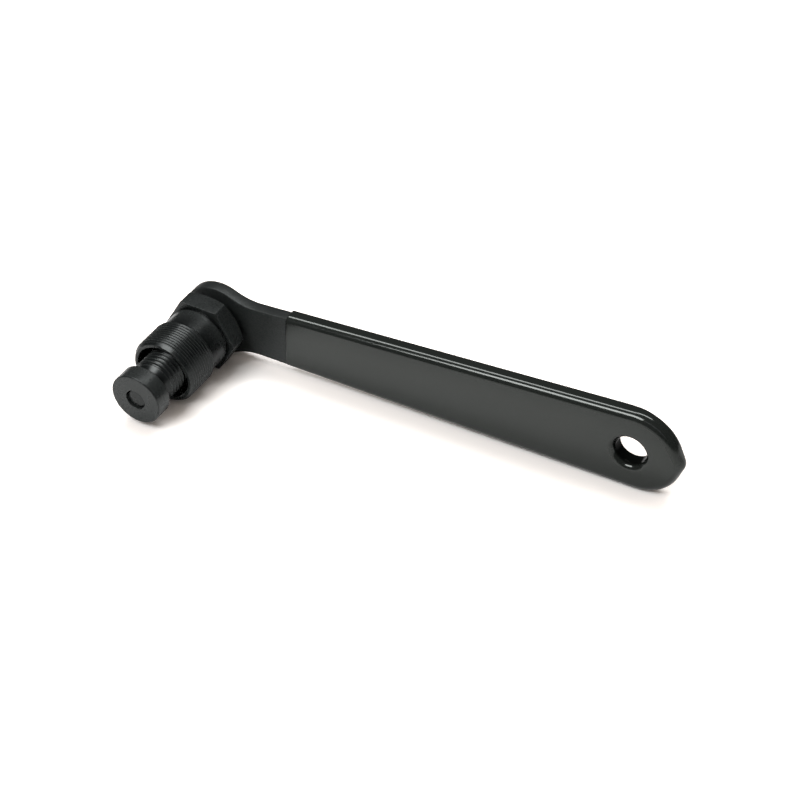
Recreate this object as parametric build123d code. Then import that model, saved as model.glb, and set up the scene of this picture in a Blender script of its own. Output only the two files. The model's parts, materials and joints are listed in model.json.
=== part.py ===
from build123d import *
from math import asin, cos, hypot, radians, sin, tan
import os

# Crank puller: a flat lever with a dipped vinyl grip turns a screw through a hollow puller body.
# The body threads into a crank arm, and the swivel foot on the screw's end pushes on the axle.
# Origin: on the screw's axis, at the rear end of the full crank thread.
# Axes: +Z up, +X along the lever, and the foot faces -Y. Sizes are in millimetres and degrees.

# Puller body: crank thread, collar and hex
crank_thread_d = 22.0
crank_thread_length = 10.3
lead_length = 1.3
lead_d = 20.0
runout_length = 0.8
collar_d = 20.3
collar_length = 7.8
undercut_width = 0.9
undercut_depth = 0.6
hex_across_flats = 22.0
hex_corner_d = 25.2
hex_length = 6.4
hex_corner_angle = 56.7
hex_face_d = 21.6
hex_chamfer_angle = 30.0
mouth_d = 18.0
mouth_depth = 8.3
mouth_chamfer = 0.2

# Screw: plain land beside the foot, long lead-in to the thread, relief beside the lever
screw_d = 14.0
screw_core_d = 12.2
screw_running_gap = 0.05
land_d = 10.6
land_length = 2.1
thread_lead = 1.7
relief_length = 1.5
thread_chamfer = 0.6
bore_chamfer = 0.4

# Where the foot and the lever stand as drawn
foot_reach = 8.5
lever_stand_off = 2.5

# Swivel foot, and the screw's stub that holds it
foot_d = 17.0
foot_length = 5.7
foot_chamfer = 0.4
foot_end_play = 0.1
stub_d = 4.6
stub_running_gap = 0.05
stub_head_d = 6.2
stub_head_height = 1.0
stub_head_chamfer = 0.5
stub_head_sink = 1.1
recess_d = 6.65

# Lever bar
bar_thickness = 4.0
bar_edge_chamfer = 0.4
eye_d = 24.4
eye_offset = 0.8
neck_width = 16.4
neck_fillet = 20.0
lever_length = 141.5
lever_end_d = 26.4
hang_hole_d = 10.0
hang_hole_inset = 0.9
tenon_side = 9.4
rivet_head_d = 13.0
rivet_head_height = 1.2
rivet_crown_d = 8.0

# Dipped vinyl grip
skin = 0.65
grip_start = 26.2
dip_line_slant = 4.2
grip_front_fillet = 2.2
grip_back_fillet = 1.6
grip_lip_chamfer = 0.3
grip_hole_chamfer = 0.8
tip_sag = 0.4
drip_length = 0.9
drip_d = 4.4
drip_height_above_axis = 1.1

# Stations along the screw's axis, from the mouth to the back of the lever
mouth_y = -(crank_thread_length + lead_length)
hex_front_y = runout_length + collar_length
hex_back_y = hex_front_y + hex_length
lever_front_y = hex_back_y + lever_stand_off
lever_back_y = lever_front_y + bar_thickness
foot_back_y = mouth_y - foot_reach
foot_front_y = foot_back_y - foot_length
stub_head_front_y = foot_front_y + stub_head_sink
stub_head_back_y = stub_head_front_y + stub_head_height

# Where the hanging hole sits along the lever
hang_hole_station = lever_length - hang_hole_inset


def turned(*stations):
    """Turns a closed profile of (radius, y) points about the screw's axis."""
    return revolve(make_face(Polyline(*stations, close=True)), Axis.Y)


def facing_foot(y):
    """Plane across the screw's axis at y that faces the foot, with X to its right and Z up."""
    return Plane(origin=(0, y, 0), x_dir=(1, 0, 0), z_dir=(0, -1, 0))


def make_puller_body():
    """Hollow turned body: crank thread, collar and hex, bored through for the screw."""
    thread_r = crank_thread_d / 2
    collar_r = collar_d / 2
    undercut_r = collar_r - undercut_depth
    undercut_y = hex_front_y - undercut_width
    barrel = turned(
        (0, mouth_y),
        (lead_d / 2, mouth_y),
        (thread_r, mouth_y + lead_length),
        (thread_r, 0),
        (collar_r, runout_length),
        (collar_r, undercut_y),
        (undercut_r, undercut_y),
        (undercut_r, hex_front_y),
        (0, hex_front_y),
    )

    flats = RegularPolygon(hex_across_flats / 2, 6, major_radius=False)
    hexagon = extrude(facing_foot(hex_back_y) * Rot(0, 0, hex_corner_angle) * flats, hex_length)
    face_r = hex_face_d / 2
    corner_r = hex_corner_d / 2
    chamfer_rise = (corner_r - face_r) * tan(radians(hex_chamfer_angle))
    turned_blank = turned(
        (0, hex_front_y),
        (corner_r, hex_front_y),
        (corner_r, hex_back_y - chamfer_rise),
        (face_r, hex_back_y),
        (0, hex_back_y),
    )

    mouth_r = mouth_d / 2
    bore_r = screw_d / 2 + screw_running_gap
    mouth_floor_y = mouth_y + mouth_depth
    hollow = turned(
        (0, mouth_y),
        (mouth_r + mouth_chamfer, mouth_y),
        (mouth_r, mouth_y + mouth_chamfer),
        (mouth_r, mouth_floor_y),
        (bore_r + bore_chamfer, mouth_floor_y),
        (bore_r, mouth_floor_y + bore_chamfer),
        (bore_r, hex_back_y - bore_chamfer),
        (bore_r + bore_chamfer, hex_back_y),
        (0, hex_back_y),
    )
    return barrel + (hexagon & turned_blank) - hollow


def make_swivel_foot():
    """Thrust foot that spins on the screw's stub, with the stub's head sunk in its face."""
    foot_r = foot_d / 2
    recess_r = recess_d / 2
    hole_r = stub_d / 2 + stub_running_gap
    recess_floor_y = stub_head_back_y + foot_end_play
    return turned(
        (recess_r, foot_front_y),
        (foot_r - foot_chamfer, foot_front_y),
        (foot_r, foot_front_y + foot_chamfer),
        (foot_r, foot_back_y - foot_chamfer),
        (foot_r - foot_chamfer, foot_back_y),
        (hole_r, foot_back_y),
        (hole_r, recess_floor_y),
        (recess_r, recess_floor_y),
    )


def tenon_section():
    """Square tenon whose corners are turned down to the screw's core."""
    return Rectangle(tenon_side, tenon_side) & Circle(screw_core_d / 2)


def make_screw_spindle():
    """Screw with a headed stub for the foot, and a square tenon riveted over behind the lever."""
    screw_r = screw_d / 2
    core_r = screw_core_d / 2
    land_r = land_d / 2
    stub_r = stub_d / 2
    head_r = stub_head_d / 2
    thrust_y = foot_back_y + foot_end_play
    land_back_y = thrust_y + land_length
    thread_back_y = lever_front_y - relief_length
    shank = turned(
        (0, stub_head_front_y),
        (head_r - stub_head_chamfer, stub_head_front_y),
        (head_r, stub_head_front_y + stub_head_chamfer),
        (head_r, stub_head_back_y),
        (stub_r, stub_head_back_y),
        (stub_r, thrust_y),
        (land_r, thrust_y),
        (land_r, land_back_y),
        (screw_r, land_back_y + thread_lead),
        (screw_r, thread_back_y - thread_chamfer),
        (core_r, thread_back_y),
        (core_r, lever_front_y),
        (0, lever_front_y),
    )
    tenon = extrude(facing_foot(lever_back_y) * tenon_section(), bar_thickness)
    rivet_top_y = lever_back_y + rivet_head_height
    rivet_head = turned(
        (0, lever_back_y),
        (rivet_head_d / 2, lever_back_y),
        (rivet_crown_d / 2, rivet_top_y),
        (0, rivet_top_y),
    )
    return shank + tenon + rivet_head


def lever_outline(grow=0.0, sag=0.0):
    """Lever seen along the screw: round eye, tapering blade and round end, grown by a margin all round."""
    eye_r = eye_d / 2 + grow
    neck_r = neck_width / 2 + grow
    end_r = lever_end_d / 2 + grow
    end_x = lever_length + sag
    taper = asin((end_r - neck_r) / end_x)
    near = Vector(-neck_r * sin(taper), neck_r * cos(taper))
    far = Vector(end_x - end_r * sin(taper), end_r * cos(taper))
    upper_edge = Line(near, far)
    lower_edge = mirror(upper_edge, Plane.XZ)
    round_end = ThreePointArc(upper_edge @ 1, (end_x + end_r, 0), lower_edge @ 1)
    inside_eye = Line(lower_edge @ 0, upper_edge @ 0)
    eye = Pos(eye_offset, 0) * Circle(eye_r)
    outline = eye + make_face(upper_edge + round_end + lower_edge + inside_eye)
    inner_corners = outline.vertices().filter_by(
        lambda v: v.X > eye_offset and abs(hypot(v.X - eye_offset, v.Y) - eye_r) < 1e-4
    )
    return fillet(inner_corners, neck_fillet - grow)


def make_lever_bar():
    """Flat steel lever with a square eye hole for the tenon and a hole to hang it by."""
    lined_hole_r = hang_hole_d / 2 + skin
    flat = lever_outline() - tenon_section() - Pos(hang_hole_station, 0) * Circle(lined_hole_r)
    bar = extrude(facing_foot(lever_back_y) * flat, bar_thickness)
    sides = bar.faces().sort_by(Axis.Y)
    rims = sides[0].outer_wire().edges() + sides[-1].outer_wire().edges()
    return chamfer(rims, bar_edge_chamfer)


def make_drip():
    """Bead of vinyl that set on the grip's tip."""
    tip_x = lever_length + lever_end_d / 2 + tip_sag + skin + drip_length
    mid_y = (lever_front_y + lever_back_y) / 2
    return Pos(tip_x - drip_d / 2, mid_y, drip_height_above_axis) * Sphere(drip_d / 2)


def make_vinyl_grip(bar):
    """Thin vinyl skin dipped over the blade and through its hanging hole, with a drop at the tip."""
    dip_area = Pos(grip_start, 0) * Rot(0, 0, -dip_line_slant) * Rectangle(
        2 * lever_length, 4 * eye_d, align=(Align.MIN, Align.CENTER)
    )
    depth = bar_thickness + 2 * skin
    plane = facing_foot(lever_back_y + skin)
    block = extrude(plane * (lever_outline(skin, tip_sag) & dip_area), depth)
    for side, radius in ((0, grip_front_fillet), (-1, grip_back_fillet)):
        face = block.faces().sort_by(Axis.Y)[side]
        block = fillet(face.outer_wire().edges().sort_by(Axis.X)[1:], radius)
    lip = block.faces().sort_by(Axis.X)[0]
    block = chamfer(lip.edges(), grip_lip_chamfer)
    hole_r = hang_hole_d / 2
    block -= extrude(plane * Pos(hang_hole_station, 0) * Circle(hole_r), depth)
    hole_rims = block.edges().filter_by(GeomType.CIRCLE).filter_by(lambda e: abs(e.radius - hole_r) < 1e-6)
    block = chamfer(hole_rims, grip_hole_chamfer)
    return block + make_drip() - bar


def main():
    os.makedirs("parts", exist_ok=True)
    bar = make_lever_bar()
    nodes = {
        "puller_body": make_puller_body(),
        "swivel_foot": make_swivel_foot(),
        "screw_spindle": make_screw_spindle(),
        "lever_bar": bar,
        "vinyl_grip": make_vinyl_grip(bar),
    }
    for name, shape in nodes.items():
        export_step(shape, f"parts/{name}.step")


main()
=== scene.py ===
# %% [markdown]
# # A crank puller with a dipped lever
# This tool pulls a bicycle's crank arm off its axle. A hollow body screws into the arm, and a lever turns a
# screw through the body, so that the foot on the screw's end pushes the axle away.
# The CAD model says where every piece is and how big it is. The lesson loads that model and dresses it:
# each CAD node gets a finer mesh in the same place, and each mesh gets a finish.

# %% Load the frame
import json
import math

import bmesh
import bpy
import numpy as np
from mathutils import Matrix, Vector


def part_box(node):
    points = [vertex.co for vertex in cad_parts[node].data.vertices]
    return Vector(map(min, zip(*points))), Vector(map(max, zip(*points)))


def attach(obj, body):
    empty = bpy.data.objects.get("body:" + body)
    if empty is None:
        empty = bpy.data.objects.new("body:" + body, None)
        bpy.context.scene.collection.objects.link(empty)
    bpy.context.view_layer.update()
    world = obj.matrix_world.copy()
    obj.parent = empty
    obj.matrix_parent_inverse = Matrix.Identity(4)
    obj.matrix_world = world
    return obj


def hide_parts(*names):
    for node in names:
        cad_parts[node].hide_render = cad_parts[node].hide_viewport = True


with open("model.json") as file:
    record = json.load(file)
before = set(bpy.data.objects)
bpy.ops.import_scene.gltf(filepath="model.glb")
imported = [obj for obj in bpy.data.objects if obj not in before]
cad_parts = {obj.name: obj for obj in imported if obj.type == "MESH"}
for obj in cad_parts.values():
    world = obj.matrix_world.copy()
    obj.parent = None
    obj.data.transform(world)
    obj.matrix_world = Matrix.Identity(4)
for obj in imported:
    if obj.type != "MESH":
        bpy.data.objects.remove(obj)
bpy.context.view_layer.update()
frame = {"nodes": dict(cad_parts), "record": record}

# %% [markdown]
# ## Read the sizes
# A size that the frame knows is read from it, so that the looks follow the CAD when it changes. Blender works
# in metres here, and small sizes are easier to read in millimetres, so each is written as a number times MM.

MM = 0.001
mounts = {mount["name"]: mount for mount in frame["record"]["mounts"]}
body_low, body_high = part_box("puller_body")
foot_low, foot_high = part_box("swivel_foot")
screw_low, screw_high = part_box("screw_spindle")
bar_low, bar_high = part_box("lever_bar")
grip_low, grip_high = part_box("vinyl_grip")

# %% [markdown]
# ## The camera
# The photograph looks down on the tool from the front right. A long lens a little over half a metre away
# gives its mild perspective. The camera is turned by its heading, its dip and a slight roll, in that order.

# %% The camera
camera_place = Vector((296.7, -359.1, 361.1)) * MM
camera_heading = math.radians(-31.54)
camera_dip = math.radians(-39.92)
camera_roll = math.radians(-3.58)
camera_lens = 86.06
camera_sensor = 36.0

level = Vector((math.cos(camera_heading), -math.sin(camera_heading), 0))
ahead = Vector((math.sin(camera_heading), math.cos(camera_heading), 0)) * math.cos(camera_dip)
ahead.z = math.sin(camera_dip)
upward = level.cross(ahead)
right = level * math.cos(camera_roll) + upward * math.sin(camera_roll)
upward = upward * math.cos(camera_roll) - level * math.sin(camera_roll)

lens = bpy.data.cameras.new("photo_camera")
lens.lens = camera_lens
lens.sensor_width = camera_sensor
camera = bpy.data.objects.new("photo_camera", lens)
camera_turn = Matrix((right, upward, -ahead)).transposed().to_4x4()
camera.matrix_world = Matrix.Translation(camera_place) @ camera_turn
bpy.context.scene.collection.objects.link(camera)
bpy.context.scene.camera = camera
print("camera looks along", [round(x, 3) for x in ahead])

# %% [markdown]
# ## Small helpers for node trees
# Materials and Geometry Nodes are both trees of nodes. One helper fills a node's inputs, with a value or with
# a link, and one adds a node. The others each add one common kind of node and return its result, so that the
# trees below are short and read like sums.

# %% Helpers for any node tree
def set_inputs(tree, node, inputs):
    """Gives each input of a node a value or a link."""
    for key, value in inputs.items():
        if isinstance(value, bpy.types.NodeSocket):
            tree.links.new(value, node.inputs[key])
        else:
            node.inputs[key].default_value = value


def add_node(tree, kind, inputs=None, **settings):
    """Adds a node to a tree, with its settings and its inputs."""
    made = tree.nodes.new(kind)
    for name, value in settings.items():
        setattr(made, name, value)
    set_inputs(tree, made, inputs or {})
    return made


def calc(tree, operation, *values):
    """Adds one step of arithmetic and returns its result."""
    return add_node(tree, "ShaderNodeMath", dict(enumerate(values)), operation=operation).outputs[0]


def vector_calc(tree, operation, *values):
    """Adds one step of arithmetic on vectors and returns its result. A length is a number."""
    made = add_node(tree, "ShaderNodeVectorMath", dict(enumerate(values)), operation=operation)
    return made.outputs["Value" if operation == "LENGTH" else "Vector"]


# %% Helpers for materials
def new_material(name):
    """Makes a material with nodes, and returns it with its tree and its main shader."""
    material = bpy.data.materials.new(name)
    material.use_nodes = True
    return material, material.node_tree, material.node_tree.nodes["Principled BSDF"]


def remap(tree, value, low, high, to_low=0.0, to_high=1.0):
    """Stretches the range from low to high over another range, and stops at its ends."""
    span = {"Value": value, "From Min": low, "From Max": high, "To Min": to_low, "To Max": to_high}
    return add_node(tree, "ShaderNodeMapRange", span).outputs["Result"]


def noise(tree, place, scale, detail):
    """Adds a soft random pattern and returns its value."""
    pattern = {"Vector": place, "Scale": scale, "Detail": detail}
    return add_node(tree, "ShaderNodeTexNoise", pattern).outputs["Fac"]


def mix_colours(tree, share, first, second):
    """Mixes two colours. A share of 0 gives the first, and 1 the second."""
    colours = {"Factor": share, "A": first, "B": second}
    return add_node(tree, "ShaderNodeMix", colours, data_type="RGBA").outputs["Result"]


def mix_shaders(tree, share, first, second):
    """Mixes two shaders in the same way."""
    return add_node(tree, "ShaderNodeMixShader", {0: share, 1: first, 2: second}).outputs[0]


def bump(tree, height, strength, distance, **under):
    """Bends the normal as a fine relief would, on top of the Normal that is under it."""
    relief = {"Height": height, "Strength": strength, "Distance": distance, **under}
    return add_node(tree, "ShaderNodeBump", relief).outputs["Normal"]


# %% [markdown]
# ## The floor
# The tool lies where gravity leaves it. A rigid thing at rest stands on one face of its convex hull: the face
# that is straight below its centre of mass. Finding that face puts the floor in true contact with the tool.

# %% Find the face that the tool rests on
steel_density = 7850
vinyl_density = 1300
weld = 0.001 * MM
facing_down = -0.5

hull = bmesh.new()
moment = Vector()
mass = 0.0
for name, node in frame["nodes"].items():
    density = vinyl_density if name == "vinyl_grip" else steel_density
    node.data.calc_loop_triangles()
    corners = [vertex.co for vertex in node.data.vertices]
    for corner in corners:
        hull.verts.new(corner)
    for triangle in node.data.loop_triangles:
        a, b, c = (corners[i] for i in triangle.vertices)
        weight = density * a.dot(b.cross(c)) / 6
        moment += weight * (a + b + c) / 4
        mass += weight
mass_centre = moment / mass
bmesh.ops.remove_doubles(hull, verts=hull.verts, dist=weld)
bmesh.ops.convex_hull(hull, input=hull.verts)
bmesh.ops.delete(hull, geom=[v for v in hull.verts if not v.link_faces], context="VERTS")
bmesh.ops.recalc_face_normals(hull, faces=hull.faces)


def stands_over(face, point):
    """Says whether a hull face is straight below a point."""
    if face.normal.z > facing_down:
        return False
    corners = [v.co.xy - point.xy for v in face.verts]
    turns = [p.cross(q) for p, q in zip(corners, corners[1:] + corners[:1])]
    return max(turns) <= 0 or min(turns) >= 0


rest_face = max((f for f in hull.faces if stands_over(f, mass_centre)), key=lambda f: f.calc_area())
floor_normal = -rest_face.normal
floor_point = rest_face.calc_center_median()
floor_tilt = floor_normal.angle(Vector((0, 0, 1)))
hull.free()
print("mass", round(mass, 3), "kg; the floor leans", round(math.degrees(floor_tilt), 2), "degrees")

# %% [markdown]
# The floor is one wide white sheet, like a photographer's table. Plain diffuse white takes the shadow of the
# lamps, and some light of its own, for the camera and for reflections, lifts it to paper white. That light
# stands for the pale room, so it fades where the tool covers the sheet. Far out, where nothing casts a
# shadow, the sheet has only its own light, and in reflections it goes over to a dim room, because a real
# table ends. The sheet leans with the tool, so a level camera can be under it. From there it is clear.

# %% The floor's finish
floor_white = (0.93, 0.93, 0.93, 1)
floor_glow = (1.0, 0.87, 0.77, 1)
floor_lift = 0.9
mirror_lift = 0.15
cover_reach = 0.02
cover_samples = 4
cover_contrast = 2.0
shadow_reach = 0.45
table_middle = (0.04, 0.0, 0.0)
table_stretch = (0.8, 1.0, 0.0)
table_start = 0.06
table_end = 0.3
room_glow = 0.08


def floor_material():
    """White sheet that keeps the shadow near the tool and is plain white further out."""
    material, tree, shader = new_material("white_sheet")
    tree.nodes.remove(shader)
    rays = add_node(tree, "ShaderNodeLightPath").outputs
    straight = rays["Is Camera Ray"]
    reflected = calc(tree, "MAXIMUM", rays["Is Glossy Ray"], rays["Is Transmission Ray"])
    place = add_node(tree, "ShaderNodeTexCoord").outputs["Object"]

    cover = add_node(tree, "ShaderNodeAmbientOcclusion", {"Distance": cover_reach}, samples=cover_samples)
    lift = calc(tree, "ADD", calc(tree, "MULTIPLY", straight, floor_lift),
                calc(tree, "MULTIPLY", reflected, mirror_lift))
    lift = calc(tree, "MULTIPLY", lift, calc(tree, "POWER", cover.outputs["AO"], cover_contrast))
    sheet = add_node(tree, "ShaderNodeBsdfDiffuse", {"Color": floor_white}).outputs[0]
    light = add_node(tree, "ShaderNodeEmission", {"Color": floor_glow, "Strength": lift}).outputs[0]
    near_sheet = add_node(tree, "ShaderNodeAddShader", {0: sheet, 1: light}).outputs[0]
    seen = calc(tree, "MAXIMUM", straight, reflected)
    far_sheet = add_node(tree, "ShaderNodeEmission", {"Strength": seen}).outputs[0]
    far = remap(tree, vector_calc(tree, "LENGTH", place), shadow_reach, 2 * shadow_reach)
    table = mix_shaders(tree, far, near_sheet, far_sheet)

    from_middle = vector_calc(tree, "SUBTRACT", place, table_middle)
    from_middle = vector_calc(tree, "MULTIPLY", from_middle, table_stretch)
    off_table = remap(tree, vector_calc(tree, "LENGTH", from_middle), table_start, table_end)
    off_table = calc(tree, "MULTIPLY", off_table, reflected)
    room = add_node(tree, "ShaderNodeEmission", {"Strength": room_glow}).outputs[0]
    from_above = mix_shaders(tree, off_table, table, room)

    below = add_node(tree, "ShaderNodeNewGeometry").outputs["Backfacing"]
    below = calc(tree, "MULTIPLY", below, straight)
    clear = add_node(tree, "ShaderNodeBsdfTransparent").outputs[0]
    mixed = mix_shaders(tree, below, from_above, clear)
    tree.links.new(mixed, tree.nodes["Material Output"].inputs["Surface"])
    return material


# %% Make the floor
floor_half_width = 12.0


def make_floor():
    """Wide square sheet on the plane that the tool rests on, centred under the tool."""
    across = floor_normal.cross(Vector((0, 1, 0))).normalized()
    along = floor_normal.cross(across)
    foot_of_mass = mass_centre - floor_normal * (mass_centre - floor_point).dot(floor_normal)
    corners = []
    for i, j in ((-1, -1), (1, -1), (1, 1), (-1, 1)):
        corners.append(foot_of_mass + across * (floor_half_width * i) + along * (floor_half_width * j))
    mesh = bpy.data.meshes.new("floor")
    mesh.from_pydata(corners, [], [(0, 1, 2, 3)])
    mesh.materials.append(floor_material())
    floor = bpy.data.objects.new("floor", mesh)
    bpy.context.scene.collection.objects.link(floor)


make_floor()
print("floor is", 2 * floor_half_width, "m wide")

# %% [markdown]
# ## The light
# Two soft boxes light the tool, and their mirror images are the two bright lines along the grip's upper
# edge. The high box stands behind on the left and throws the short shadow to the front. The low box stands
# in front on the left. All around is dim grey, so the flat surfaces between the lines stay dark. Where the
# camera looks past the sheet, it sees the white of a backdrop.

# %% Light the tool
light_target = Vector((0.07, 0.0, 0.0))
light_distance = 1.5
world_grey = 0.07


def soft_box(name, toward, size, power):
    """Flat rectangular lamp at a set distance from the tool, facing it."""
    lamp = bpy.data.lights.new(name, "AREA")
    lamp.shape = "RECTANGLE"
    lamp.size, lamp.size_y = size
    lamp.energy = power
    box = bpy.data.objects.new(name, lamp)
    direction = Vector(toward).normalized()
    box.location = light_target + direction * light_distance
    box.rotation_euler = direction.to_track_quat("Z", "Y").to_euler()
    bpy.context.scene.collection.objects.link(box)


soft_box("back_box", toward=(-0.12, 0.35, 0.93), size=(1.64, 0.36), power=16.0)
soft_box("front_box", toward=(-0.19, -0.55, 0.81), size=(0.83, 0.48), power=15.5)

world = bpy.data.worlds.new("dim_room")
world.use_nodes = True
sky = world.node_tree.nodes["Background"]
sky.inputs["Color"].default_value = (1, 1, 1, 1)
straight = add_node(world.node_tree, "ShaderNodeLightPath").outputs["Is Camera Ray"]
backdrop = calc(world.node_tree, "MAXIMUM", straight, world_grey)
world.node_tree.links.new(backdrop, sky.inputs["Strength"])
bpy.context.scene.world = world
bpy.context.scene.view_settings.view_transform = "Standard"

# %% [markdown]
# ## Black oxide on steel
# The body, the screw, the foot and the bar are steel with a black oxide skin: a dark satin with the cutter's
# fine marks under it, slightly cloudy, and rubbed a little lighter on its edges. The marks on turned pieces
# run round the axis, so their pattern reads only the distance from the axis and the place along it.

# %% The steel finishes
oxide_dark = (0.0030, 0.0037, 0.0037, 1)
oxide_pale = (0.0075, 0.0088, 0.0088, 1)
rubbed_edge = (0.030, 0.033, 0.032, 1)
rub_strength = 1.4
rub_softness = 0.2
oxide_sheen = (0.95, 1.0, 0.99, 1)
oxide_ior = 1.40
roughness_spread = 0.09
cloud_scale = 140.0
tone_range = (0.32, 0.68)
sheen_range = (0.3, 0.7)
mark_scale = 4500.0
mark_strength = 0.35
mark_height = 0.01 * MM
grain_scale = 1900.0
grain_strength = 0.3


def round_axis(tree, place):
    """Turns a place into its distance from the screw's axis and its place along it."""
    axes = add_node(tree, "ShaderNodeSeparateXYZ", {0: place}).outputs
    flat = add_node(tree, "ShaderNodeCombineXYZ", {"X": axes["X"], "Y": axes["Z"]}).outputs[0]
    radius = vector_calc(tree, "LENGTH", flat)
    return add_node(tree, "ShaderNodeCombineXYZ", {"X": radius, "Y": axes["Y"]}).outputs[0]


def oxide_material(name, turned, smooth, grain_height):
    """Black oxide satin. Turned pieces carry fine rings, and the blanked bar a coarser tumbled grain."""
    material, tree, shader = new_material(name)
    place = add_node(tree, "ShaderNodeTexCoord").outputs["Object"]
    clouds = noise(tree, place, cloud_scale, detail=4.0)
    marks = noise(tree, round_axis(tree, place) if turned else place, mark_scale, detail=2.0)
    grain = noise(tree, place, grain_scale, detail=2.0)

    oxide = mix_colours(tree, remap(tree, clouds, *tone_range), oxide_dark, oxide_pale)
    edge = add_node(tree, "ShaderNodeAttribute", attribute_name="edge").outputs["Fac"]
    rubbed = calc(tree, "SMOOTH_MIN", 1.0, calc(tree, "MULTIPLY", grain, rub_strength), rub_softness)
    colour = mix_colours(tree, calc(tree, "MULTIPLY", edge, rubbed), oxide, rubbed_edge)
    rough = remap(tree, clouds, *sheen_range, smooth, smooth + roughness_spread)
    rings = bump(tree, marks, mark_strength, mark_height)
    relief = bump(tree, grain, grain_strength, grain_height, Normal=rings)
    set_inputs(tree, shader, {"Base Color": colour, "Roughness": rough, "IOR": oxide_ior,
                              "Specular Tint": oxide_sheen, "Normal": relief})
    return material


turned_oxide = oxide_material("turned_oxide", turned=True, smooth=0.22, grain_height=0.02 * MM)
bar_oxide = oxide_material("bar_oxide", turned=False, smooth=0.36, grain_height=0.08 * MM)
print("steel finishes:", turned_oxide.name, bar_oxide.name)

# %% [markdown]
# ## Dipped vinyl
# The grip was dipped in liquid vinyl and cured, which leaves a smooth semi-gloss black skin. It flowed
# before it set, so it is a little uneven: long soft waves bend the highlights, and a fine orange peel breaks
# them up. Close to the hole's axis the wall carries painted shade: a darker colour and little shine.

# %% The vinyl finish
vinyl_dark = (0.0125, 0.0145, 0.0130, 1)
vinyl_pale = (0.0165, 0.0190, 0.0170, 1)
vinyl_sheen = (0.95, 1.0, 0.965, 1)
vinyl_ior = 1.5
vinyl_roughness = (0.09, 0.13)
peel_range = (0.3, 0.7)
wave_scale = 70.0
wave_strength = 0.3
wave_height = 0.1 * MM
peel_scale = 900.0
peel_strength = 0.12
peel_height = 0.02 * MM
hang_hole = mounts["hang_hole"]
# Painted shade on the hole's wall: a darker colour and less shine close to the hole's axis.
hole_painted_shade = (0.0030, 0.0034, 0.0031, 1)
hole_shade_shine = 0.02
open_shine = 0.5
painted_shade_start = 5.25 * MM
painted_shade_end = 4.9 * MM


def vinyl_material():
    """Semi-gloss black vinyl with soft waves and a fine orange peel, and painted shade on the hole's wall."""
    material, tree, shader = new_material("dipped_vinyl")
    place = add_node(tree, "ShaderNodeTexCoord").outputs["Object"]
    waves = noise(tree, place, wave_scale, detail=1.0)
    peel = noise(tree, place, peel_scale, detail=2.0)
    from_hole = vector_calc(tree, "SUBTRACT", place, hang_hole["pos_m"])
    from_hole = vector_calc(tree, "LENGTH", vector_calc(tree, "MULTIPLY", from_hole, (1, 0, 1)))

    open_skin = mix_colours(tree, waves, vinyl_dark, vinyl_pale)
    # Painted shade: towards the hole's axis the colour goes over to the dark wall and the shine falls.
    colour = mix_colours(tree, remap(tree, from_hole, painted_shade_end, painted_shade_start), hole_painted_shade, open_skin)
    shine = remap(tree, from_hole, painted_shade_end, painted_shade_start, hole_shade_shine, open_shine)
    rough = remap(tree, peel, *peel_range, *vinyl_roughness)
    swell = bump(tree, waves, wave_strength, wave_height)
    relief = bump(tree, peel, peel_strength, peel_height, Normal=swell)
    set_inputs(tree, shader, {"Base Color": colour, "Roughness": rough, "IOR": vinyl_ior,
                              "Specular IOR Level": shine, "Specular Tint": vinyl_sheen, "Normal": relief})
    return material


dipped_vinyl = vinyl_material()
print("grip finish:", dipped_vinyl.name)

# %% [markdown]
# ## Turned pieces
# A lathe makes a shape that is the same all the way round, so one profile of radius and height along the axis
# describes it. Blender's Spin could sweep that profile, but flats are milled on two of these pieces, so here
# each angle may have a profile of its own. Real edges are never knife sharp: a station may carry a rounding,
# and a point close beside each arc keeps the flat next to it flat in the shading.

# %% Helpers for turned pieces
COLUMNS = 192
arc_steps = 4
edge_hold = 0.02 * MM


def rounded(stations):
    """Turns (radius, y, rounding) stations into profile points, with an arc at each rounded corner."""
    corners = [Vector(station[:2]) for station in stations]
    final = len(corners) - 1
    points = []
    for i, (radius, _, rounding) in enumerate(stations):
        corner = corners[i]
        back = (corners[max(i - 1, 0)] - corner).normalized()
        on = (corners[min(i + 1, final)] - corner).normalized()
        if not rounding:
            points.append(corner)
            if radius and i == 0:
                points.append(corner + on * edge_hold)
            if radius and i == final:
                points.insert(-1, corner + back * edge_hold)
            continue
        half = back.angle(on) / 2
        reach = rounding / math.tan(half)
        centre = corner + (back + on).normalized() * (rounding / math.sin(half))
        first = corner + back * reach - centre
        last = corner + on * reach - centre
        spread = first.angle(last)
        points.append(corner + back * (reach + edge_hold))
        for step in range(arc_steps + 1):
            share = step / arc_steps
            arm = first * math.sin((1 - share) * spread) + last * math.sin(share * spread)
            points.append(centre + arm / math.sin(spread))
        points.append(corner + on * (reach + edge_hold))
    return points


def sweep(mesh, profile_at):
    """Adds the skin that a profile leaves as it goes round the screw's axis, one profile for each angle."""
    columns = []
    for k in range(COLUMNS):
        angle = 2 * math.pi * k / COLUMNS
        x, z = math.cos(angle), math.sin(angle)
        columns.append([mesh.verts.new((r * x, y, r * z)) for r, y in profile_at(angle)])
    for left, right in zip(columns, columns[1:] + columns[:1]):
        for i in range(len(left) - 1):
            mesh.faces.new((left[i], left[i + 1], right[i + 1], right[i]))


# %% [markdown]
# ## Finish a piece
# Every piece ends the same way: its doubles are merged, its faces point outwards, and it is shaded smooth up
# to a crease. An attribute stores how sharply the mesh bends at each vertex, which tells the oxide where the
# edges are rubbed.

# %% Helpers to finish a piece
blunt_radius = 1.5 * MM
sharp_radius = 0.25 * MM
piece_weld = 0.002 * MM
sliver = 0.0005 * MM
crease = math.radians(70)


def read_rows(items, name, width, kind=np.float32):
    """Reads one property of a mesh's items as an array with a row for each item."""
    flat = np.empty(len(items) * width, kind)
    items.foreach_get(name, flat)
    return flat.reshape(-1, width)


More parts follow.
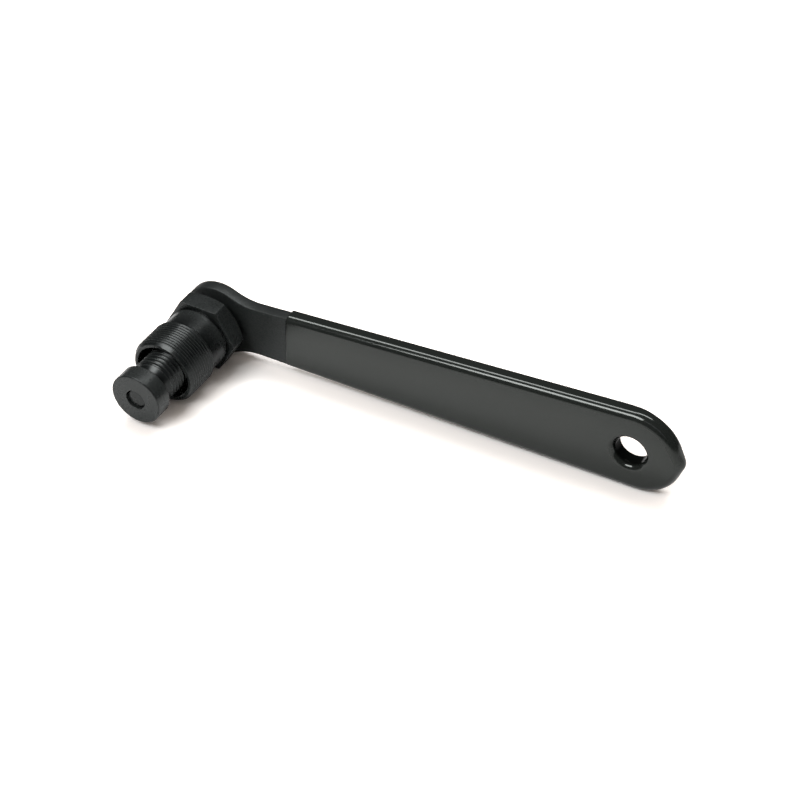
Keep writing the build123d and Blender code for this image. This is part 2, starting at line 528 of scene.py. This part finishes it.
def mark_edges(mesh):
    """Stores how sharply each vertex stands out, so that a finish can rub the edges lighter."""
    place = read_rows(mesh.vertices, "co", 3)
    normal = read_rows(mesh.vertex_normals, "vector", 3)
    a, b = read_rows(mesh.edges, "vertices", 2, np.int32).T
    step = place[a] - place[b]
    bend = ((normal[a] - normal[b]) * step).sum(1) / np.maximum((step ** 2).sum(1), weld ** 2)
    most = np.zeros(len(place))
    np.maximum.at(most, a, bend)
    np.maximum.at(most, b, bend)
    edge = np.clip((most - 1 / blunt_radius) / (1 / sharp_radius - 1 / blunt_radius), 0, 1)
    mesh.attributes.new("edge", "FLOAT", "POINT").data.foreach_set("value", edge.astype(np.float32))


def finish_piece(name, mesh, material, node, body):
    """Closes a bmesh, shades it, and puts it in the place of its CAD node."""
    bmesh.ops.remove_doubles(mesh, verts=mesh.verts, dist=piece_weld)
    bmesh.ops.dissolve_degenerate(mesh, edges=mesh.edges, dist=sliver)
    bmesh.ops.recalc_face_normals(mesh, faces=mesh.faces)
    open_edges = sum(1 for e in mesh.edges if len(e.link_faces) != 2)
    made = bpy.data.meshes.new(name)
    mesh.to_mesh(made)
    mesh.free()
    made.shade_smooth()
    made.set_sharp_from_angle(angle=crease)
    mark_edges(made)
    made.materials.clear()
    made.materials.append(material)
    piece = bpy.data.objects.new(name, made)
    bpy.context.scene.collection.objects.link(piece)
    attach(piece, body)
    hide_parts(node)
    print(name, len(made.polygons), "faces,", open_edges, "open edges")


# %% [markdown]
# ## Threads
# A thread is a ridge that follows a rule: it climbs one pitch for each turn. A modelled ring for each turn
# would not climb, and a bump in the finish would vanish at the outline, so Geometry Nodes bend a flat grid
# into it. Each turn has six rows: two on the crest, two in the root and one high on each flank. A row falls
# by one pitch on its way round, so its end meets the start of the row one turn below, and merging closes the
# seam. At both ends the rows stop at the last height and a cone cuts the ridge away, as a lathe tool
# chamfers a thread. A side of -1 turns the same tree inside out, for the tapped bore.

# %% Inputs of the thread tree
def thread_inputs(tree):
    """Adds the tree's inputs and its output, and returns the inputs."""
    for name in ("Crest Radius", "Root Radius", "Pitch", "Start", "End", "Start Radius", "End Radius",
                 "Cone", "Side"):
        tree.interface.new_socket(name, in_out="INPUT", socket_type="NodeSocketFloat")
    tree.interface.new_socket("Columns", in_out="INPUT", socket_type="NodeSocketInt")
    tree.interface.new_socket("Material", in_out="INPUT", socket_type="NodeSocketMaterial")
    tree.interface.new_socket("Thread", in_out="OUTPUT", socket_type="NodeSocketGeometry")
    return tree.nodes.new("NodeGroupInput").outputs


# %% Shape of one turn of thread
TURN_ROWS = 6.0
crest_share = 1 / 8
high_share = 0.3
flank_slope = math.tan(math.radians(30))


def thread_height(tree, size, rise, turn, step, round_share):
    """Place of a point along the axis, from its turn, its row in the turn and how far round it is."""
    flank = calc(tree, "MULTIPLY", calc(tree, "ABSOLUTE", rise), flank_slope)
    flank = calc(tree, "DIVIDE", flank, size["Pitch"])
    high_flank = calc(tree, "MULTIPLY", flank, high_share)
    low_flank = calc(tree, "SUBTRACT", flank, high_flank)
    root_share = calc(tree, "SUBTRACT", 1 - crest_share, calc(tree, "MULTIPLY", flank, 2.0))
    climb = 0.0
    for row, width in enumerate((crest_share, high_flank, low_flank, root_share, low_flank)):
        past_row = calc(tree, "GREATER_THAN", step, row + 0.5)
        climb = calc(tree, "ADD", climb, calc(tree, "MULTIPLY", past_row, width))
    height = calc(tree, "SUBTRACT", calc(tree, "ADD", turn, climb), round_share)
    height = calc(tree, "ADD", calc(tree, "MULTIPLY", height, size["Pitch"]), size["Start"])
    return calc(tree, "MINIMUM", calc(tree, "MAXIMUM", height, size["Start"]), size["End"])


def thread_radius(tree, size, rise, step, height):
    """Distance of a point from the axis: the ridge, cut away by a cone at each end."""
    from_crest = calc(tree, "MAXIMUM", calc(tree, "SUBTRACT", step, 1.0), 0.0)
    from_crest = calc(tree, "MINIMUM", from_crest, calc(tree, "SUBTRACT", TURN_ROWS, step))
    past_high = calc(tree, "MAXIMUM", calc(tree, "SUBTRACT", from_crest, 1.0), 0.0)
    crest_part = calc(tree, "SUBTRACT", 1.0, calc(tree, "MULTIPLY", from_crest, high_share))
    crest_part = calc(tree, "SUBTRACT", crest_part, calc(tree, "MULTIPLY", past_high, 1 - 2 * high_share))
    ridge = calc(tree, "ADD", size["Root Radius"], calc(tree, "MULTIPLY", crest_part, rise))
    radius = calc(tree, "MULTIPLY", ridge, size["Side"])
    from_start = calc(tree, "SUBTRACT", height, size["Start"])
    from_end = calc(tree, "SUBTRACT", size["End"], height)
    for end_radius, distance in ((size["Start Radius"], from_start), (size["End Radius"], from_end)):
        cone = calc(tree, "MULTIPLY", distance, size["Cone"])
        cone = calc(tree, "ADD", calc(tree, "MULTIPLY", end_radius, size["Side"]), cone)
        radius = calc(tree, "MINIMUM", radius, cone)
    return calc(tree, "MULTIPLY", radius, size["Side"])


# %% The thread tree
def thread_tree():
    """Geometry Nodes tree that makes a right-hand thread round the Y axis."""
    tree = bpy.data.node_groups.new("helical_thread", "GeometryNodeTree")
    size = thread_inputs(tree)
    length = calc(tree, "SUBTRACT", size["End"], size["Start"])
    turns = calc(tree, "ADD", calc(tree, "CEIL", calc(tree, "DIVIDE", length, size["Pitch"])), 1.0)
    last_row = calc(tree, "MULTIPLY", turns, TURN_ROWS)
    grid = add_node(tree, "GeometryNodeMeshGrid", {
        "Size X": 1.0, "Size Y": 1.0,
        "Vertices X": calc(tree, "ADD", size["Columns"], 1.0),
        "Vertices Y": calc(tree, "ADD", last_row, 1.0),
    }).outputs["Mesh"]
    grid_place = add_node(tree, "GeometryNodeInputPosition").outputs[0]
    spot = add_node(tree, "ShaderNodeSeparateXYZ", {0: grid_place}).outputs
    round_share = calc(tree, "ADD", spot["X"], 0.5)
    row = calc(tree, "ROUND", calc(tree, "MULTIPLY", calc(tree, "ADD", spot["Y"], 0.5), last_row))
    turn = calc(tree, "FLOOR", calc(tree, "DIVIDE", calc(tree, "ADD", row, 0.01), TURN_ROWS))
    step = calc(tree, "SUBTRACT", row, calc(tree, "MULTIPLY", turn, TURN_ROWS))

    rise = calc(tree, "SUBTRACT", size["Crest Radius"], size["Root Radius"])
    height = thread_height(tree, size, rise, turn, step, round_share)
    radius = thread_radius(tree, size, rise, step, height)
    angle = calc(tree, "MULTIPLY", round_share, 2 * math.pi)
    place = add_node(tree, "ShaderNodeCombineXYZ", {
        "X": calc(tree, "MULTIPLY", radius, calc(tree, "COSINE", angle)), "Y": height,
        "Z": calc(tree, "MULTIPLY", radius, calc(tree, "SINE", angle)),
    }).outputs[0]
    thread = add_node(tree, "GeometryNodeSetPosition", {"Geometry": grid, "Position": place}).outputs[0]
    thread = add_node(tree, "GeometryNodeMergeByDistance", {"Geometry": thread, "Distance": weld}).outputs[0]
    thread = add_node(tree, "GeometryNodeRealizeInstances", {"Geometry": thread}).outputs[0]
    finish = {"Geometry": thread, "Material": size["Material"]}
    thread = add_node(tree, "GeometryNodeSetMaterial", finish).outputs[0]
    tree.links.new(thread, tree.nodes.new("NodeGroupOutput").inputs["Thread"])
    return tree


helical_thread = thread_tree()
print("thread tree has", len(helical_thread.nodes), "nodes")


# %% Make threads and turned pieces
def make_thread(mesh, **sizes):
    """Runs the thread tree with these sizes and adds its result to a bmesh."""
    holder = bpy.data.objects.new("thread", bpy.data.meshes.new("thread"))
    bpy.context.scene.collection.objects.link(holder)
    modifier = holder.modifiers.new("thread", "NODES")
    modifier.node_group = helical_thread
    values = {name.replace("_", " ").title(): value for name, value in sizes.items()}
    values["Columns"] = COLUMNS
    values["Material"] = turned_oxide
    for socket in helical_thread.interface.items_tree:
        if socket.in_out == "INPUT":
            modifier[socket.identifier] = values[socket.name]
    depsgraph = bpy.context.evaluated_depsgraph_get()
    made = bpy.data.meshes.new_from_object(holder.evaluated_get(depsgraph))
    holder.modifiers.remove(modifier)
    mesh.from_mesh(made)
    print("thread of", len(made.polygons), "faces")
    bpy.data.objects.remove(holder)
    bpy.data.meshes.remove(made)


def turned_piece(name, profiles, threads, node, body):
    """Makes one piece of turned steel from its swept profiles and its threads."""
    mesh = bmesh.new()
    for profile_at in profiles:
        sweep(mesh, profile_at)
    for sizes in threads:
        make_thread(mesh, **sizes)
    finish_piece(name, mesh, turned_oxide, node, body)


# %% [markdown]
# ## The puller body
# The body is turned from hex bar in one piece. From the mouth back it has the crank thread, a plain collar, a
# narrow undercut and the hex that a spanner turns. The corners of the hex are turned off by a chamfer at its
# back, so its outline at each angle is the lesser of the flat and the turned blank, blended over a small
# edge. Inside, the mouth takes the foot when it draws back, and the tapped bore carries the screw.

# %% Sizes of the body
thread_depth_share = 0.613
crank_crest = mounts["crank_thread"]["dims"]["r_mm"] * MM
crank_pitch = 1.0 * MM
crank_root = crank_crest - thread_depth_share * crank_pitch
crank_lead = 10.0 * MM
crank_cone = 0.77
collar_radius = 10.15 * MM
collar_start = 0.8 * MM
hex_front = 8.6 * MM
hex_back = body_high.y
undercut_start = 7.7 * MM
undercut_radius = 9.55 * MM
hex_flat = 11.0 * MM
hex_corner = 12.6 * MM
hex_face = 10.8 * MM
hex_turn = math.radians(56.7)
hex_chamfer = math.tan(math.radians(30))
hex_edge_blend = 0.16 * MM
mouth_y = body_low.y
mouth_radius = 9.0 * MM
mouth_chamfer = 0.2 * MM
mouth_floor = mouth_y + 8.3 * MM
screw_pitch = 1.5 * MM
bore_radius = 7.06 * MM
bore_crest = 6.17 * MM
bore_cone = 1.0
countersink = 0.4 * MM
turned_edge = 0.15 * MM
hex_edge = 0.12 * MM
bored_edge = 0.08 * MM
inner_corner = 0.1 * MM
mouth_corner = 0.3 * MM
print("hex is", round((hex_back - hex_front) / MM, 2), "mm long")


# %% Shape of the body
def hex_reach(angle):
    """Distance from the axis to the hex at an angle, with its corners turned off."""
    from_flat = (angle - hex_turn) % math.radians(60) - math.radians(30)
    flat = hex_flat / math.cos(from_flat)
    share = min(max(0.5 + 0.5 * (hex_corner - flat) / hex_edge_blend, 0), 1)
    return hex_corner * (1 - share) + flat * share - hex_edge_blend * share * (1 - share)


def body_rear(angle):
    """Profile from the crank thread's rear end over the hex to the tapped bore."""
    reach = hex_reach(angle)
    rise = (reach - hex_face) * hex_chamfer
    return rounded([
        (collar_radius, collar_start, 0),
        (collar_radius, undercut_start, turned_edge),
        (undercut_radius, undercut_start, inner_corner),
        (undercut_radius, hex_front, inner_corner),
        (reach, hex_front, turned_edge),
        (reach, hex_back - rise, hex_edge),
        (hex_face, hex_back, hex_edge),
        (bore_radius + countersink, hex_back, bored_edge),
        (bore_radius, hex_back - countersink, 0),
    ])


def body_front(angle):
    """Profile from the tapped bore through the mouth to the crank thread's front end."""
    return rounded([
        (bore_radius, mouth_floor + countersink, 0),
        (bore_radius + countersink, mouth_floor, bored_edge),
        (mouth_radius, mouth_floor, mouth_corner),
        (mouth_radius, mouth_y + mouth_chamfer, bored_edge),
        (mouth_radius + mouth_chamfer, mouth_y, bored_edge),
        (crank_lead, mouth_y, 0),
    ])


# %% Make the body
crank_thread = dict(
    crest_radius=crank_crest, root_radius=crank_root, pitch=crank_pitch, start=mouth_y, end=collar_start,
    start_radius=crank_lead, end_radius=collar_radius, cone=crank_cone, side=1.0)
tapped_thread = dict(
    crest_radius=bore_radius, root_radius=bore_crest, pitch=screw_pitch, start=mouth_floor + countersink,
    end=hex_back - countersink, start_radius=bore_radius, end_radius=bore_radius, cone=bore_cone, side=-1.0)
body_threads = (crank_thread, tapped_thread)
turned_piece("body_looks", (body_rear, body_front), body_threads, "puller_body", "puller_body")

# %% [markdown]
# ## The swivel foot
# The foot is a turned button that spins on the screw's stub. Its flat face bears on the axle, and the stub's
# head sits in a recess in that face. One closed profile describes it, so one sweep makes it.

# %% Make the foot
foot_front, foot_back = foot_low.y, foot_high.y
foot_radius = foot_high.x
foot_edge = 0.4 * MM
foot_back_edge = 0.35 * MM
recess_radius = 3.325 * MM
recess_floor = foot_front + 2.2 * MM
recess_edge = 0.12 * MM
stub_hole = 2.35 * MM


def foot_profile(angle):
    """Closed section of the foot, from its stub hole out and back."""
    return rounded([
        (stub_hole, recess_floor, 0),
        (recess_radius, recess_floor, inner_corner),
        (recess_radius, foot_front, recess_edge),
        (foot_radius, foot_front, foot_edge),
        (foot_radius, foot_back, foot_back_edge),
        (stub_hole, foot_back, 0),
        (stub_hole, recess_floor, 0),
    ])


turned_piece("foot_looks", (foot_profile,), (), "swivel_foot", "foot")

# %% [markdown]
# ## The screw
# The screw is one turned piece. Its stub and peened head hold the foot, a short plain land follows, then the
# thread, which a long chamfer leads in, and a relief beside the lever. A squared tenon fits the lever's eye,
# and its end is hammered over behind the eye into a low rivet head.

# %% Sizes of the screw
screw_crest = 7.0 * MM
screw_root = screw_crest - thread_depth_share * screw_pitch
screw_cone = 0.8
stub_radius = 2.3 * MM
stub_edge = 0.06 * MM
head_radius = 3.1 * MM
head_front = screw_low.y
head_back = head_front + 1.0 * MM
crown_front = head_front - 0.45 * MM
crown_radius = 2.0 * MM
crown_rounding = 0.6 * MM
peen_width = 0.25 * MM
peen_drop = 0.12 * MM
peen_back = head_front + 0.3 * MM
land_front = foot_back + 0.1 * MM
land_back = land_front + 2.1 * MM
land_radius = 5.3 * MM
land_edge = 0.2 * MM
lever_front, lever_back = bar_low.y, bar_high.y
relief_start = lever_front - 1.5 * MM
tenon_half = 4.7 * MM
tenon_corner = 6.1 * MM
rivet_radius = 6.5 * MM
rivet_lean = 0.15 * MM
rivet_side = 0.35 * MM
rivet_edge = 0.2 * MM
rivet_top = screw_high.y
dome_radius = 4.6 * MM
dome_drop = 0.25 * MM
dome_rounding = 1.5 * MM
dome_top_rounding = 3.0 * MM
print("screw reaches", round((rivet_top - head_front) / MM, 2), "mm from stub head to rivet head")


# %% Make the screw
def screw_stub(angle):
    """Profile from the middle of the peened head to the start of the thread."""
    return rounded([
        (0, crown_front, 0),
        (crown_radius, crown_front, crown_rounding),
        (head_radius - peen_width, crown_front + peen_drop, peen_width),
        (head_radius, peen_back, turned_edge),
        (head_radius, head_back, stub_edge),
        (stub_radius, head_back, stub_edge),
        (stub_radius, land_front, stub_edge),
        (land_radius, land_front, land_edge),
        (land_radius, land_back, 0),
    ])


def tenon_reach(angle):
    """Distance from the axis to the squared tenon at an angle, with its corners turned off."""
    from_flat = (angle + math.pi / 4) % (math.pi / 2) - math.pi / 4
    return np.minimum(tenon_corner, tenon_half / np.cos(from_flat))


def screw_tail(angle):
    """Profile from the end of the thread through the squared tenon to the middle of the rivet head."""
    tenon = tenon_reach(angle)
    return rounded([
        (screw_root, relief_start, 0),
        (screw_root, lever_front, 0),
        (tenon, lever_front, 0),
        (tenon, lever_back, 0),
        (rivet_radius, lever_back, 0),
        (rivet_radius - rivet_lean, lever_back + rivet_side, rivet_edge),
        (dome_radius, rivet_top - dome_drop, dome_rounding),
        (crown_radius, rivet_top, dome_top_rounding),
        (0, rivet_top, 0),
    ])


screw_thread = dict(
    crest_radius=screw_crest, root_radius=screw_root, pitch=screw_pitch, start=land_back, end=relief_start,
    start_radius=land_radius, end_radius=screw_root, cone=screw_cone, side=1.0)
turned_piece("screw_looks", (screw_stub, screw_tail), (screw_thread,), "screw_spindle", "lever")

# %% [markdown]
# ## The lever's outline
# The lever was blanked from flat bar. Its outline is a round eye, two hollow necks, two straight edges that
# spread towards the tip, and a round end. Each stretch is an arc or a line that touches the next, so the
# points and their outward directions come from a few sizes. A larger outline is the same one moved along
# those directions.

# %% Draw the lever's outline
eye_offset = 0.8 * MM
eye_radius = eye_offset - bar_low.x
end_radius = bar_high.z
lever_length = bar_high.x - end_radius
neck_half = 8.2 * MM
neck_fillet = 20.0 * MM
eye_count = 40
neck_count = 20
tip_count = 70
hole_count = 96


def arc(centre, radius, start, end, count):
    """Points on an arc, each with the direction out from its centre."""
    turns = np.linspace(start, end, count)
    out = np.stack([np.cos(turns), np.sin(turns)], -1)
    return np.array(centre) + radius * out, out


def circle(centre, radius):
    """Points round a hole, each with the direction out from its centre."""
    points, out = arc(centre, radius, 0, 2 * math.pi, hole_count + 1)
    return points[:-1], out[:-1]


def upper_outline(length, straight_count):
    """Upper half of the lever's outline, from the eye's far side to the tip, with outward directions."""
    taper = math.asin((end_radius - neck_half) / length)
    along = np.array((math.cos(taper), math.sin(taper)))
    out = np.array((-math.sin(taper), math.cos(taper)))
    eye = np.array((eye_offset, 0))
    rise = neck_half + neck_fillet
    gap = eye @ along + math.sqrt((eye_radius + neck_fillet) ** 2 - (rise - eye @ out) ** 2)
    neck = out * rise + along * gap
    neck_turn = math.atan2(neck[1], neck[0] - eye_offset)
    eye_points, eye_out = arc(eye, eye_radius, math.pi, neck_turn, eye_count)
    down_turn = math.atan2(-out[1], -out[0])
    neck_points, neck_in = arc(neck, neck_fillet, neck_turn - math.pi, down_turn, neck_count)
    line_start = out * neck_half + along * gap
    line_end = np.array((length, 0)) + out * end_radius
    share = np.linspace(0, 1, straight_count)[1:-1, None]
    line_points = line_start + (line_end - line_start) * share
    tip_points, tip_out = arc((length, 0), end_radius, math.pi / 2 + taper, 0, tip_count)
    points = np.concatenate([eye_points, neck_points[1:], line_points, tip_points])
    outward = np.concatenate([eye_out, -neck_in[1:], np.tile(out, (len(share), 1)), tip_out])
    return points, outward


def mirrored(points, keep_ends):
    """Upper half followed by its mirror image. Where the outline is closed, the ends are used once."""
    lower = points[::-1] * (1, -1)
    return np.concatenate([points, lower[1:] if keep_ends else lower[1:-1]])


print("lever is", round(lever_length / MM, 2), "mm between centres")


# %% [markdown]
# ## The lever bar
# The bar is a flat plate, so stacked rings of the outline make its edge: they step in along an arc at the
# front and back rims, where the blank was tumbled. The two flat sides are filled between the last ring and
# the holes.

# %% Helpers for plates
def ring(mesh, points, y):
    """Adds one ring of vertices at a depth along the screw's axis, or at a depth for each of its points."""
    return [mesh.verts.new((x, depth, z)) for (x, z), depth in zip(points, np.broadcast_to(y, len(points)))]


def bridge(mesh, rings, closed=True):
    """Joins rings of equal count, each to the next."""
    for near, far in zip(rings, rings[1:]):
        count = len(near)
        for i in range(count if closed else count - 1):
            j = (i + 1) % count
            mesh.faces.new((near[i], near[j], far[j], far[i]))


def loop_edges(mesh, vertices):
    """Edges round a closed loop of vertices, made where they are missing."""
    pairs = zip(vertices, vertices[1:] + vertices[:1])
    return [mesh.edges.get(pair) or mesh.edges.new(pair) for pair in pairs]


def fill(mesh, *loops):
    """Fills the flat area between an outer loop and the holes in it."""
    edges = [edge for loop in loops for edge in loop_edges(mesh, loop)]
    bmesh.ops.triangle_fill(mesh, use_beauty=True, use_dissolve=False, edges=edges)


# %% Make the bar
bar_rounding = 0.3 * MM
bar_rim_steps = 4
bar_line_count = 30
hole_place = np.array((hang_hole["pos_m"][0], hang_hole["pos_m"][2]))
hole_radius = hang_hole["dims"]["r_mm"] * MM
vinyl_skin = bar_low.y - grip_low.y


def tenon_outline():
    """Hole in the eye that the squared tenon fills."""
    turns = np.linspace(0, 2 * math.pi, hole_count, endpoint=False)
    return tenon_reach(turns)[:, None] * np.stack([np.cos(turns), np.sin(turns)], -1)


def quarter_round(steps):
    """Insets and drops over a round edge from a face to the side, for a rounding of 1."""
    turns = np.linspace(0, math.pi / 2, steps + 1)
    return 1 - np.sin(turns), 1 - np.cos(turns)


def bar_rows():
    """(inset, y) rows from the front face over the tumbled rims to the back face."""
    inset, drop = (bar_rounding * part for part in quarter_round(bar_rim_steps))
    front = [(bar_rounding + edge_hold, lever_front), *zip(inset, lever_front + drop)]
    back = [(bar_rounding + edge_hold, lever_back), *zip(inset, lever_back - drop)]
    return front + back[::-1]


def make_bar():
    """Blanked lever with tumbled rims, the square hole in its eye and the hole in its end."""
    points, outward = (mirrored(half, False) for half in upper_outline(lever_length, bar_line_count))
    mesh = bmesh.new()
    rim = [ring(mesh, points - outward * i, y) for i, y in bar_rows()]
    bridge(mesh, rim)
    lined_hole, _ = circle(hole_place, hole_radius + vinyl_skin)
    holes = []
    for outline in (tenon_outline(), lined_hole):
        wall = [ring(mesh, outline, y) for y in (lever_front, lever_back)]
        bridge(mesh, wall)
        holes.append(wall)
    fill(mesh, rim[0], *(wall[0] for wall in holes))
    fill(mesh, rim[-1], *(wall[1] for wall in holes))
    finish_piece("bar_looks", mesh, bar_oxide, "lever_bar", "lever")


make_bar()

# %% [markdown]
# ## The dipped grip
# The vinyl wraps the blade from a slanted dip line to the tip, and lines the hole. It drew back from the
# edges before it set, so each face has a soft shoulder and then a round rim. The front rim is a little
# thinner near the dip line, the back rim is rounder at the tip, and the tip leans the way the vinyl ran
# before its last drop set there. The same outline, grown by the skin, gives its rings. One cut along the dip
# line and a rounded lip finish its open end, and an inner wall makes it a real skin.

# %% Sizes of the grip
front_rounding = 2.3 * MM
near_height = 1.8 * MM
near_depth = 2.5 * MM
near_length = 48.0 * MM
back_rounding = 0.9 * MM
tip_back_rounding = 2.0 * MM
tip_blend = 0.4
shoulder_width = 6.5 * MM
front_shoulder = 0.4 * MM
back_shoulder = 0.28 * MM
face_crown = 0.2 * MM
rim_steps = 12
shoulder_steps = 8
side_steps = 3
hole_waist = 4.85 * MM
hole_flare = 1.9 * MM
hole_bead = 2.2 * MM
hole_back_rounding = 0.7 * MM
lip_rounding = 0.3 * MM
lip_steps = 5
dip_place = 26.2 * MM
dip_slant = math.radians(4.2)
cut_spare = 6.0 * MM
grip_line_count = 130
skin_wall = vinyl_skin + face_crown
tip_sag = 0.4 * MM
tip_lean = 0.05
drop_length = grip_high.x - (lever_length + end_radius + tip_sag + vinyl_skin)
drop_height = -0.65 * MM
drop_spread = 1.8 * MM
drop_root = lever_length + end_radius - 2 * vinyl_skin
grip_front, grip_back = grip_low.y, grip_high.y
grip_middle = (grip_front + grip_back) / 2
print("drop stands out", round(drop_length / MM, 2), "mm")


# %% Section of the grip's rim and hole
def at_tip(x):
    """How far round the end a place is: 0 along the blade, 1 at the tip."""
    share = np.clip((x - lever_length) / end_radius + tip_blend, 0, 1)
    return share * share * (3 - 2 * share)


def rim_side(height, depth, shoulder_drop):
    """Rows of insets and drops from a face to its rim, with a rounding for each point of the outline."""
    round_inset, round_drop = quarter_round(rim_steps)
    shoulder = np.linspace(shoulder_width, height, shoulder_steps + 1)[:-1]
    inset = np.concatenate([shoulder, height * round_inset[:, None]])
    drop = np.concatenate([np.zeros_like(shoulder), depth * round_drop[:, None]])
    return inset, drop + shoulder_drop * (1 - inset / shoulder_width) ** 2 - face_crown


def rim_rows(x):
    """(inset, y) rows from the front face over the rim to the back face, for outline points at x."""
    near = np.clip(1 - (x - dip_place) / near_length, 0, 1)
    inset, drop = rim_side(front_rounding + (near_height - front_rounding) * near,
                           front_rounding + (near_depth - front_rounding) * near, front_shoulder)
    front = list(zip(inset, grip_front + drop))
    rounding = back_rounding + (tip_back_rounding - back_rounding) * at_tip(x)
    inset, drop = rim_side(rounding, rounding, back_shoulder)
    back = list(zip(inset, grip_back - drop))[::-1]
    side = [(np.zeros_like(x), y) for y in np.linspace(front[-1][1], back[0][1], side_steps + 1)[1:-1]]
    return front + side + back


def hole_rows():
    """(growth, y) rows from the front face through the hole to the back face."""
    inset, drop = quarter_round(rim_steps)
    front = zip(hole_flare * inset, grip_front - face_crown + hole_bead * drop)
    back = zip(hole_back_rounding * inset, grip_back + face_crown - hole_back_rounding * drop)
    return [*front, *list(back)[::-1]]


# %% Outer skin of the grip
def set_drop(mesh):
    """Leans the tip the way the vinyl ran, and draws it out into the drop that set on it."""
    for vertex in mesh.verts:
        x, y, z = vertex.co
        near = min(max((x - drop_root) / vinyl_skin, 0), 1)
        spread = ((z - drop_height) ** 2 + (y - grip_middle) ** 2) / (2 * drop_spread ** 2)
        vertex.co.x += near * drop_length * math.exp(-spread) - tip_lean * z * at_tip(x)


def outer_skin():
    """Skin of the grip from well before the dip line to the tip, open at its near end."""
    points, outward = upper_outline(lever_length + tip_sag, grip_line_count)
    keep = points[:, 0] > dip_place - cut_spare
    points = mirrored(points[keep], True)
    outward = mirrored(outward[keep], True)
    mesh = bmesh.new()
    rows = rim_rows(points[:, 0])
    rim = [ring(mesh, points + outward * (vinyl_skin - i[:, None]), y) for i, y in rows]
    bridge(mesh, rim, closed=False)
    waist, waist_out = circle(hole_place, hole_waist)
    hole = [ring(mesh, waist + waist_out * growth, y) for growth, y in hole_rows()]
    bridge(mesh, hole)
    fill(mesh, rim[0], hole[0])
    fill(mesh, rim[-1], hole[-1])
    set_drop(mesh)
    bmesh.ops.recalc_face_normals(mesh, faces=mesh.faces)
    return mesh


# %% Cut the dip line and close the skin
into_grip = Vector((math.cos(dip_slant), 0, -math.sin(dip_slant)))


def cut_dip_line(mesh):
    """Cuts the skin off along the dip line, with room left for the lip."""
    cut_place = Vector((dip_place, 0, 0)) + into_grip * lip_rounding
    bmesh.ops.bisect_plane(mesh, geom=mesh.verts[:] + mesh.edges[:] + mesh.faces[:], dist=weld,
                           plane_co=cut_place, plane_no=into_grip, clear_inner=True)
    mesh.normal_update()


def lip_row(mesh, outer, inner, normal):
    """Vertices from the outer skin over the rounded lip to the inner wall."""
    out = (normal - into_grip * normal.dot(into_grip)).normalized()
    row = [outer]
    for turn in np.linspace(0, math.pi / 2, lip_steps + 1)[1:]:
        place = outer.co - into_grip * (lip_rounding * math.sin(turn))
        row.append(mesh.verts.new(place - out * (lip_rounding * (1 - math.cos(turn)))))
    row.append(mesh.verts.new(outer.co - into_grip * lip_rounding - out * skin_wall))
    return row + [inner]


def make_grip():
    """The grip as a closed skin: cut at the dip line, with a rounded lip and an inner wall."""
    mesh = outer_skin()
    cut_dip_line(mesh)
    lip = [edge for edge in mesh.edges if edge.is_boundary]
    normals = {vertex: vertex.normal.copy() for vertex in mesh.verts}
    inner = bmesh.ops.duplicate(mesh, geom=mesh.verts[:] + mesh.edges[:] + mesh.faces[:])["vert_map"]
    for vertex, normal in normals.items():
        inner[vertex].co -= normal * skin_wall
    lip_vertices = dict.fromkeys(vertex for edge in lip for vertex in edge.verts)
    rows = {vertex: lip_row(mesh, vertex, inner[vertex], normals[vertex]) for vertex in lip_vertices}
    for edge in lip:
        a, b = (rows[vertex] for vertex in edge.verts)
        for i in range(len(a) - 1):
            mesh.faces.new((a[i], b[i], b[i + 1], a[i + 1]))
    finish_piece("grip_looks", mesh, dipped_vinyl, "vinyl_grip", "lever")


make_grip()
